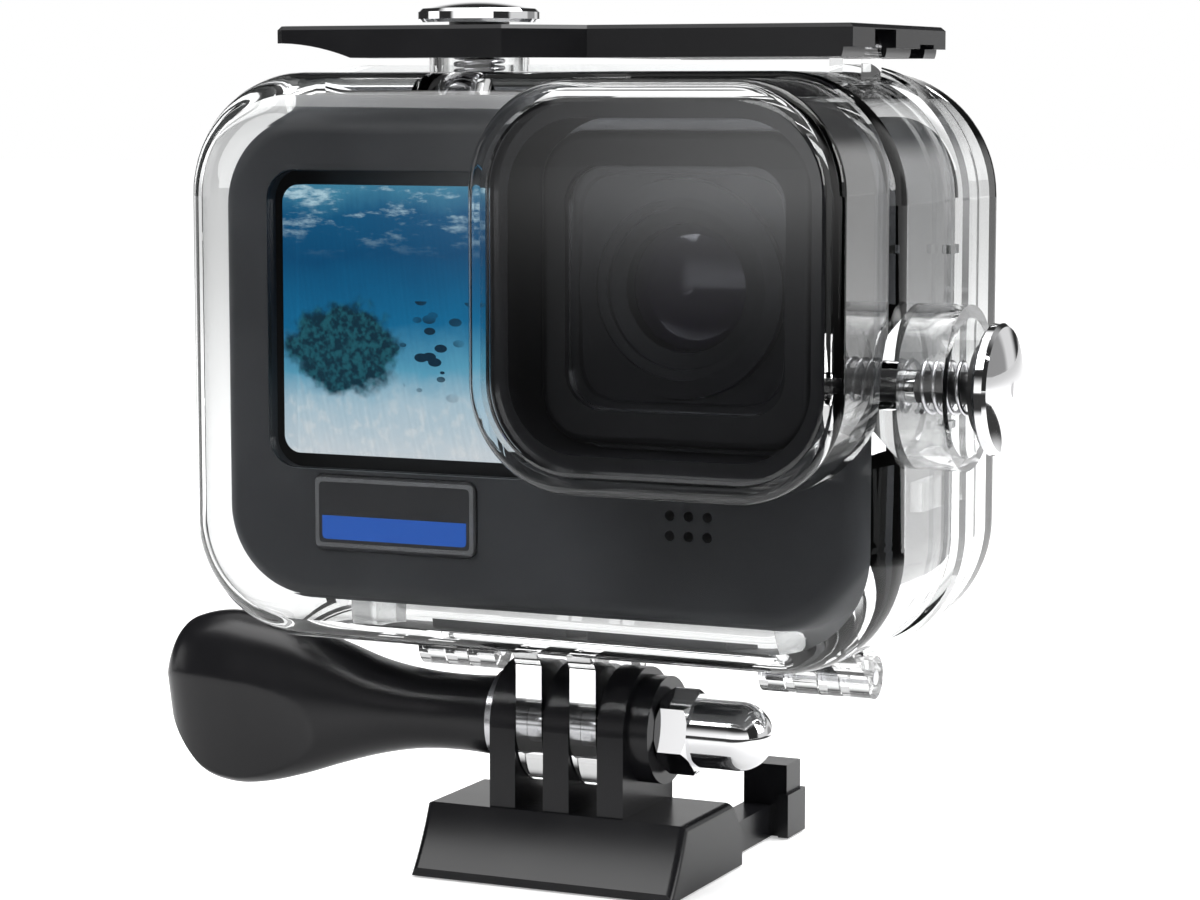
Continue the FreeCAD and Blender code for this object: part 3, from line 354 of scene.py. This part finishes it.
@dataclass(frozen=True)
class WaterPicture:
    """A display that shows plain water: bright ripples above, blue, and pale sand below."""

    name: str
    left: float
    low: float
    width: float
    height: float
    glow: float = 0.9

    def material(self) -> Any:
        """Return the finish as a material."""
        material, graph = new_material(self.name)
        x, _, z = graph.axes()
        across = (x - self.left) / self.width
        upward = (z - self.low) / self.height
        drift = graph.noise(150.0, 4.0, 0.6)
        level = upward + (drift - 0.5) * 0.16 + (0.5 - across) * 0.05
        ramp = graph.node("ShaderNodeValToRGB", {"stops": [
            (0.0, (0.75, 0.82, 0.86)), (0.20, (0.50, 0.68, 0.78)), (0.33, (0.12, 0.42, 0.60)),
            (0.50, (0.006, 0.17, 0.36)), (0.75, (0.003, 0.085, 0.21)), (0.90, (0.006, 0.11, 0.25)),
            (1.0, (0.06, 0.27, 0.42))]}, {0: level})
        ripple_place = graph.node("ShaderNodeMapping", None, {
            "Vector": graph.place(), "Scale": (0.45, 1.0, 1.5), "Rotation": (0.0, 0.12, 0.0)})
        ripples = graph.noise(420.0, 5.0, 0.65, ripple_place.outputs[0])
        light = ripples.smooth(0.50, 0.66) * upward.smooth(0.72, 0.96)
        water = graph.mix(light * 0.85, ramp.outputs[0], (0.62, 0.86, 0.95))
        sand = graph.noise(900.0, 4.0)
        water = graph.mix(upward.smooth(0.34, 0.06) * sand.smooth(0.48, 0.7) * 0.5, water, (0.9, 0.93, 0.92))
        reef_round = ((across - 0.25) * (across - 0.25) * 2.0 + (upward - 0.40) * (upward - 0.40) * 3.6)
        reef_edge = reef_round.root() + (graph.noise(520.0, 4.0) - 0.5) * 0.24
        water = graph.mix(reef_edge.smooth(0.36, 0.27), water, graph.mix(
            graph.noise(1500.0, 3.0).smooth(0.4, 0.65), (0.004, 0.035, 0.06), (0.015, 0.12, 0.16)))
        shoal = graph.node("ShaderNodeTexVoronoi", None, {
            "Vector": graph.node("ShaderNodeMapping", None, {
                "Vector": graph.place(), "Scale": (0.72, 1.0, 1.25),
                "Rotation": (0.0, 0.5, 0.0)}).outputs[0],
            "Scale": 520.0, "Randomness": 1.0})
        crowd = graph.noise(130.0, 2.0).smooth(0.42, 0.6)
        band = (abs(across - 0.66 + (upward - 0.4) * 0.25) < 0.20) * (abs(upward - 0.38) < 0.20)
        fish = (Signal(graph, shoal.outputs["Distance"]) < 0.30) * crowd * band
        water = graph.mix(fish, water, (0.004, 0.03, 0.06))
        principled(graph, {
            "Base Color": (0.02, 0.02, 0.02),
            "Roughness": 0.25,
            "Emission Color": water,
            "Emission Strength": self.glow,
        })
        return material


@dataclass(frozen=True)
class FramedPlate:
    """The case's plastic with a raised bright outline and one plain blue strip."""

    name: str
    low: tuple[float, float]
    high: tuple[float, float]
    border: float = 0.0005
    line: float = 0.00022
    strip_top: float = 0.0036

    def material(self) -> Any:
        """Return the finish as a material."""
        material, graph = new_material(self.name)
        x, _, z = graph.axes()
        middle = ((self.low[0] + self.high[0]) / 2, (self.low[1] + self.high[1]) / 2)
        half = ((self.high[0] - self.low[0]) / 2, (self.high[1] - self.low[1]) / 2)
        inset_x = half[0] - abs(x - middle[0])
        inset_z = half[1] - abs(z - middle[1])
        inset = graph.node("ShaderNodeMath", {"operation": "SMOOTH_MIN"},
                           {0: inset_x, 1: inset_z, 2: 0.0008}).outputs[0]
        inset = Signal(graph, inset)
        outline = (abs(inset - self.border) < self.line)
        strip = (inset > self.border + 0.0006) * (z < self.low[1] + self.strip_top)
        wear = graph.noise(260.0)
        face = graph.mix(strip, graph.mix(wear, (0.022, 0.023, 0.026), (0.028, 0.029, 0.032)),
                         (0.02, 0.13, 0.60))
        principled(graph, {
            "Base Color": graph.mix(outline, face, (0.42, 0.43, 0.45)),
            "Metallic": outline * 0.8,
            "Roughness": 0.42 - outline * 0.2 + wear * 0.06,
            "Normal": graph.bump(outline, 0.0002),
        })
        return material


# ------------------------------------------------------------------ mesh helpers

def dress(piece: Any, material: Any) -> None:
    """Give a piece one material."""
    piece.data.materials.clear()
    piece.data.materials.append(material)


def through(stations: Sequence[Sequence[float]], place: float) -> list[float]:
    """Return the values at a place on smooth curves through stations.

    Args:
        stations: rows of (place, value, value, ...), in rising order of place.
        place: where to read the curves.

    Returns:
        One value for each curve.
    """
    last = len(stations) - 1
    index = max(i for i in range(last) if stations[i][0] <= place or i == 0)
    rows = [stations[min(max(index + step, 0), last)] for step in (-1, 0, 1, 2)]
    span = rows[2][0] - rows[1][0]
    part = (place - rows[1][0]) / span
    values = []
    for before, start, end, after in zip(*(row[1:] for row in rows)):
        leave = (end - before) / (rows[2][0] - rows[0][0]) * span
        reach = (after - start) / (rows[3][0] - rows[1][0]) * span
        values.append((2 * part**3 - 3 * part**2 + 1) * start + (part**3 - 2 * part**2 + part) * leave
                      + (3 * part**2 - 2 * part**3) * end + (part**3 - part**2) * reach)
    return values


def skin(name: str, rings: Sequence[Sequence[Sequence[float]]], ring_shaped: bool = False,
         crease: float = 38.0) -> Any:
    """Make a piece from rings of points.

    Args:
        name: the piece's name.
        rings: rings with the same number of points, each point in metres.
        ring_shaped: join the last ring to the first; otherwise both ends are capped.
        crease: faces that meet at more than this angle, in degrees, keep a sharp edge.

    Returns:
        The new piece.
    """
    count = len(rings[0])
    points = [tuple(point) for ring in rings for point in ring]
    faces = []
    for row in range(len(rings) if ring_shaped else len(rings) - 1):
        first, second = row * count, (row + 1) % len(rings) * count
        for i in range(count):
            j = (i + 1) % count
            faces.append((first + i, first + j, second + j, second + i))
    if not ring_shaped:
        faces.append(tuple(reversed(range(count))))
        faces.append(tuple(range(len(points) - count, len(points))))
    mesh = bpy.data.meshes.new(name)
    mesh.from_pydata(points, [], faces)
    shell = bmesh.new()
    shell.from_mesh(mesh)
    bmesh.ops.recalc_face_normals(shell, faces=shell.faces)
    shell.to_mesh(mesh)
    shell.free()
    mesh.polygons.foreach_set("use_smooth", [True] * len(mesh.polygons))
    mesh.set_sharp_from_angle(angle=math.radians(crease))
    piece = bpy.data.objects.new(name, mesh)
    bpy.context.collection.objects.link(piece)
    return piece


def add_bevel(piece: Any, width: float, angle: float = 40.0) -> None:
    """Round a piece's sharp edges with a modifier."""
    bevel = piece.modifiers.new("edge", "BEVEL")
    bevel.width = width
    bevel.segments = 3
    bevel.limit_method = "ANGLE"
    bevel.angle_limit = math.radians(angle)
    bevel.harden_normals = True


@dataclass
class Paddle:
    """Thumb screw's handle: a round neck and a flat paddle with one cut facet."""

    node: str = "thumb_handle"
    axis_height: float = 0.016
    squareness: float = 2.25
    along: int = 150
    around: int = 120
    stations: tuple[tuple[float, ...], ...] = (
        (0.0, 1.3, 1.1, 1.0), (0.5, 4.6, 3.4, 2.3), (2.2, 7.5, 6.6, 3.5), (4.6, 8.8, 9.2, 4.1),
        (8.2, 9.4, 10.2, 4.3), (12.2, 9.0, 9.9, 4.3), (17.2, 8.2, 8.6, 4.3), (22.2, 6.7, 6.9, 4.3),
        (27.2, 5.1, 5.4, 4.3), (32.2, 4.3, 4.4, 4.2), (37.2, 4.1, 4.1, 4.1), (42.1, 4.3, 4.3, 4.3))
    facet_edge: tuple[tuple[float, float], ...] = (
        (0.0, 2.4), (4.3, 1.9), (9.0, 1.5), (13.3, 0.9), (17.8, -0.6), (20.6, -2.6), (22.0, -6.0),
        (23.0, -12.0), (43.0, -30.0))
    facet_level: float = 0.97
    facet_slope: float = 0.2
    crowding: float = 1.6

    def build(self, material: Any) -> Any:
        """Build and dress the handle.

        Args:
            material: the handle's finish.

        Returns:
            The handle's piece.
        """
        low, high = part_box(self.node)
        rings = []
        reach = (high[0] - low[0]) / MM
        for step in range(self.along + 1):
            part = step / self.along
            run = reach * part ** self.crowding
            up, down, thick = through(self.stations, min(run, self.stations[-1][0] - 1e-6))
            edge = through(self.facet_edge, min(run, self.facet_edge[-1][0] - 1e-6))[0]
            ring = []
            for i in range(self.around):
                turn = math.tau * i / self.around
                lean, rise = math.cos(turn), math.sin(turn)
                power = 2.0 / self.squareness
                y = math.copysign(abs(lean) ** power, lean) * thick
                z = math.copysign(abs(rise) ** power, rise) * (up if rise > 0 else down)
                cut = -self.facet_level * thick + self.facet_slope * (edge - z)
                if y < 0:
                    y = max(y, min(cut, -0.5))
                ring.append((low[0] + run * MM, y * MM, self.axis_height + z * MM))
            rings.append(ring)
        piece = skin("handle_paddle", rings, crease=50.0)
        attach(piece, Body.THUMB_SCREW.value)
        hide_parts(self.node)
        dress(piece, material)
        return piece


@dataclass
class LensSurround:
    """Black stepped plate between the square cover and the round barrel."""

    cover: str = "lens_cover_frame"
    barrel: str = "lens_barrel"
    rim: float = 0.0028
    around: int = 160

    def _ring(self, half: tuple[float, float], power: float, y: float) -> list[tuple[float, ...]]:
        """Return one rounded square ring about the lens."""
        low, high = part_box(self.barrel)
        middle = ((low[0] + high[0]) / 2, (low[2] + high[2]) / 2)
        ring = []
        for i in range(self.around):
            turn = math.tau * i / self.around
            lean, rise = math.cos(turn), math.sin(turn)
            size = (abs(lean / half[0]) ** power + abs(rise / half[1]) ** power) ** (-1 / power)
            ring.append((middle[0] + lean * size, y, middle[1] + rise * size))
        return ring

    def build(self, material: Any) -> Any:
        """Build and dress the plate.

        Args:
            material: the plate's finish.

        Returns:
            The plate's piece.
        """
        low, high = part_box(self.cover)
        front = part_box("lens_cover_glass")[1][1]
        half = ((high[0] - low[0]) / 2 - self.rim, (high[2] - low[2]) / 2 - self.rim - 0.0006)
        inner = (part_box(self.barrel)[1][0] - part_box(self.barrel)[0][0]) / 2 + 0.0001
        rows = ((0.0, 7.0, 0.0003), (0.0007, 6.5, 0.0003), (0.0009, 6.5, 0.0008), (0.0011, 6.0, 0.0008))
        rings = [self._ring((half[0] - inset, half[1] - inset), power, front + depth)
                 for inset, power, depth in rows]
        rings += [self._ring((inner, inner), 2.0, front + depth) for depth in (0.0009, 0.0022)]
        rings.append(self._ring(half, 7.0, front + 0.0022))
        piece = skin("lens_surround", rings, ring_shaped=True, crease=30.0)
        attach(piece, Body.HOUSING.value)
        dress(piece, material)
        return piece


# ------------------------------------------------------------------ studio

@dataclass(frozen=True)
class Lobe:
    """A patch of the surroundings that glossy and clear pieces show, by its direction."""

    toward: Triple
    start: float
    full: float
    strength: float

    def level(self, way: Sequence[Signal]) -> Signal:
        """Return the patch's brightness in a direction.

        Args:
            way: x, y and z of the direction.

        Returns:
            0 outside the patch, rising to its strength.
        """
        x, y, z = way
        along = x * self.toward[0] + y * self.toward[1] + z * self.toward[2]
        return along.smooth(self.start, self.full) * self.strength


TOP_BOX = Lobe((0.0, 0.0, 1.0), 0.72, 0.86, 1.4)
LEFT_STRIP = Lobe((-0.93, -0.36, 0.0), 0.955, 0.975, 1.6)
RIGHT_WALL = Lobe((0.80, 0.60, 0.0), 0.70, 0.80, 0.75)
RIGHT_GAP = Lobe((0.62, 0.78, 0.0), 0.965, 0.985, 0.6)
BACKDROP = Lobe((-0.414, 0.904, -0.11), 0.87, 0.95, 1.0)
BACK_GAP = Lobe((-0.80, 0.60, 0.0), 0.965, 0.985, 0.7)
FRONT_FADE = Lobe((1.0, 0.0, 0.0), -0.50, -0.34, 1.3)
UNDER = Lobe((0.0, 0.0, 1.0), -0.3, -0.6, 0.5)


@dataclass
class Studio:
    """Pale floor, soft light and the camera."""

    camera_place: tuple[float, float, float] = (0.14534, -0.31265, 0.08356)
    azimuth: float = 24.607
    elevation: float = 6.305
    lens: float = 97.59
    floor_size: float = 6.0
    floor_drop: float = 0.0002
    floor_glow: float = 0.35
    surrounding: float = 0.03
    soft_level: float = 0.75

    def build(self) -> None:
        """Make the whole studio."""
        self._world()
        self._floor()
        self._lamps()
        self._camera()
        bpy.context.scene.view_settings.view_transform = "Standard"

    def _world(self) -> None:
        """Light from all round: bright above, with darker bands at the sides."""
        world = bpy.data.worlds.new("studio")
        bpy.context.scene.world = world
        world.use_nodes = True
        graph = Graph(world.node_tree)
        way = graph.node("ShaderNodeTexCoord").outputs["Generated"]
        parts = graph.node("ShaderNodeSeparateXYZ", None, {0: way}).outputs
        way = tuple(Signal(graph, socket) for socket in parts)
        _, y, z = way
        left_strip = LEFT_STRIP.level(way) * z.smooth(0.75, 0.5)
        right_wall = RIGHT_WALL.level(way) * (1.0 - RIGHT_GAP.level(way))
        backdrop = BACKDROP.level(way) * (1.0 - BACK_GAP.level(way))
        front_fade = FRONT_FADE.level(way) * (y < -0.6) * z.smooth(0.45, 0.1)
        level = (self.surrounding + TOP_BOX.level(way) + left_strip + right_wall + backdrop
                 + front_fade + UNDER.level(way))
        path = graph.node("ShaderNodeLightPath")
        seen = Signal(graph, path.outputs["Is Camera Ray"])
        soft = Signal(graph, path.outputs["Is Diffuse Ray"])
        strength = level * (1.0 - seen) * (1.0 - soft) + seen + soft * self.soft_level
        sky = graph.node("ShaderNodeBackground", None, {"Color": (1.0, 1.0, 1.0), "Strength": strength})
        graph.node("ShaderNodeOutputWorld", None, {"Surface": sky.outputs[0]})

    def _floor(self) -> None:
        """A pale floor under the object: plain white to the camera, with painted shade and a painted
        reflection glow that only reflected rays see.
        """
        mesh = bpy.data.meshes.new("floor")
        half = self.floor_size / 2
        mesh.from_pydata([(-half, -half, 0), (half, -half, 0), (half, half, 0), (-half, half, 0)], [],
                         [(0, 1, 2, 3)])
        floor = bpy.data.objects.new("floor", mesh)
        bpy.context.collection.objects.link(floor)
        floor.location.z = -self.floor_drop
        material, graph = new_material("floor_white_with_painted_reflections")
        path = graph.node("ShaderNodeLightPath")
        seen = Signal(graph, path.outputs["Is Camera Ray"])
        soft = Signal(graph, path.outputs["Is Diffuse Ray"])
        x, y, _ = graph.axes()
        # Painted shade: to reflected rays the floor turns dark in front of the object and far from it,
        # standing in for a dark studio round the object; to the camera it stays white.
        painted_dark_front = (y + abs(x) * 0.15).smooth(-0.045, -0.11) * (1.0 - seen) * (1.0 - soft)
        distance = (x * x + y * y).root()
        painted_dark_far = distance.smooth(0.14, 0.24) * (x * -0.42 + y * 0.9 < 0.10)
        # Painted reflection: to reflected rays the floor in front of the object glows, which lays a painted
        # bright haze on the windows.
        painted_reflection_glow_level = distance.smooth(0.55, 2.6) * (x / distance).smooth(-0.50, -0.34) * (y < -0.2) * 1.3
        painted_reflection_shade = (painted_dark_front + painted_dark_far * (1.0 - seen) * (1.0 - soft)).smooth(0.0, 1.0)
        floor_colour_with_painted_shade = graph.mix(painted_reflection_shade * 0.97, (0.93, 0.93, 0.93), (0.0, 0.0, 0.0))
        diffuse = graph.node("ShaderNodeBsdfDiffuse", None, {"Color": floor_colour_with_painted_shade})
        glow = graph.node("ShaderNodeEmission", None, {
            "Color": (1.0, 1.0, 1.0), "Strength": self.floor_glow})
        both = graph.node("ShaderNodeAddShader", None, {0: diffuse.outputs[0], 1: glow.outputs[0]})
        # Emission of the painted reflection glow, seen only by reflected rays.
        painted_reflection_glow = graph.node("ShaderNodeEmission", None, {
            "Color": (1.0, 1.0, 1.0), "Strength": painted_reflection_glow_level * (1.0 - seen) * (1.0 - soft)})
        floor_with_painted_glow = graph.node("ShaderNodeAddShader", None, {0: diffuse.outputs[0], 1: painted_reflection_glow.outputs[0]})
        mixed = graph.node("ShaderNodeMixShader", None, {
            0: seen, 1: floor_with_painted_glow.outputs[0], 2: both.outputs[0]})
        graph.node("ShaderNodeOutputMaterial", None, {"Surface": mixed.outputs[0]})
        dress(floor, material)

    def _lamps(self) -> None:
        """Three soft boxes."""
        for name, place, aim, size, power in (
            ("key_box", (-0.35, -0.45, 0.75), (0.0, 0.0, 0.05), 0.5, 4.0),
            ("top_box", (0.15, 0.25, 0.8), (0.0, 0.0, 0.05), 0.6, 5.0),
            ("edge_box", (0.75, 0.15, 0.35), (0.02, 0.0, 0.05), 0.35, 2.5),
        ):
            data = bpy.data.lights.new(name, "AREA")
            data.size = size
            data.energy = power
            lamp = bpy.data.objects.new(name, data)
            bpy.context.collection.objects.link(lamp)
            lamp.location = place
            lamp.rotation_mode = "QUATERNION"
            lamp.rotation_quaternion = (Vector(aim) - Vector(place)).to_track_quat("-Z", "Y")

    def _camera(self) -> None:
        """The camera at the viewing angle."""
        data = bpy.data.cameras.new("camera")
        data.lens = self.lens
        data.clip_start = 0.01
        data.clip_end = 20.0
        camera = bpy.data.objects.new("camera", data)
        bpy.context.collection.objects.link(camera)
        turn, rise = math.radians(self.azimuth), math.radians(self.elevation)
        back = Vector((math.sin(turn) * math.cos(rise), -math.cos(turn) * math.cos(rise), math.sin(rise)))
        camera.location = self.camera_place
        camera.rotation_mode = "QUATERNION"
        camera.rotation_quaternion = (-back).to_track_quat("-Z", "Y")
        bpy.context.scene.camera = camera


# ------------------------------------------------------------------ main

BLACK = MouldedPlastic("black_nylon", (0.005, 0.005, 0.006), 0.24, 0.06, 16000.0, 0.000003, 0.3)
CASE = MouldedPlastic("camera_case_grey", (0.034, 0.036, 0.040), 0.5, 0.05, 22000.0, 0.000002, 0.35)
CLEAR = ClearPlastic("clear_polycarbonate", (0.985, 0.99, 0.99), 1.45)
CHROME = PolishedMetal("chrome_plate", (0.86, 0.86, 0.87), 0.04, 0.02)
STEEL = PolishedMetal("stainless_steel", (0.62, 0.62, 0.64), 0.18, 0.2)
SEAL = ClearPlastic("silicone_seal", (0.93, 0.94, 0.94), 1.41, 0.25)
WINDOW = ClearPlastic("window_glass", (0.80, 0.81, 0.83), 1.5)
OPTIC = MouldedPlastic("lens_coating", (0.012, 0.006, 0.022), 0.05, 0.0, 9000.0, 0.0, 0.5, 1.0)
MATT = MouldedPlastic("lens_frame_black", (0.004, 0.004, 0.005), 0.38, 0.05)
BOARD = CircuitBoard("circuit_board")
DARK_GLASS = MouldedPlastic("dark_display", (0.004, 0.004, 0.005), 0.06, 0.02, 9000.0, 0.0, 0.5, 0.6)
ALLOY = PolishedMetal("heat_sink_alloy", (0.75, 0.76, 0.78), 0.35, 0.2)

EDGES = {"latch_lever": 0.45 * MM, "buckle": 0.5 * MM, "acorn_nut": 0.2 * MM,
         "lens_cover_frame": 0.2 * MM, "camera_front_case": 0.2 * MM}


def main() -> None:
    """Load the frame, dress it and set up the studio."""
    logging.basicConfig(level=logging.INFO, format="%(message)s")
    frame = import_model()
    screen_low, screen_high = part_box("front_screen_panel")
    picture = WaterPicture("water_picture", screen_low[0], screen_low[2], screen_high[0] - screen_low[0],
                           screen_high[2] - screen_low[2])
    plate_low, plate_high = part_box("front_plate")
    plate = FramedPlate("front_plate_finish", (plate_low[0], plate_low[2]), (plate_high[0], plate_high[2]))
    finishes = {
        "buckle": BLACK, "nut": CHROME, "handle": BLACK, "bolt": STEEL, "clear": CLEAR, "bezel": MATT,
        "window": WINDOW, "seal": SEAL, "lever": BLACK, "cap": CHROME, "stem": MATT, "spring": STEEL,
        "case": CASE, "lens_frame": MATT, "optic": OPTIC, "screen": picture, "screen_glass": WINDOW,
        "plate": plate, "board": BOARD, "metal": ALLOY, "battery": MATT,
    }
    materials = {slot: finish.material() for slot, finish in finishes.items()}
    slots = {part["node"]: part["material_slot"] for part in frame["record"]["subparts"]}
    for name, piece in frame["nodes"].items():
        dress(piece, materials[slots[name]])
        LOG.info("dressed %s", name)
    dress(frame["nodes"]["rear_screen"], DARK_GLASS.material())
    for name, width in EDGES.items():
        add_bevel(frame["nodes"][name], width)
    for piece in (Paddle().build(materials["handle"]), LensSurround().build(materials["lens_frame"])):
        LOG.info("built %s", piece.name)
    Studio().build()


if __name__ == "__main__":
    main()
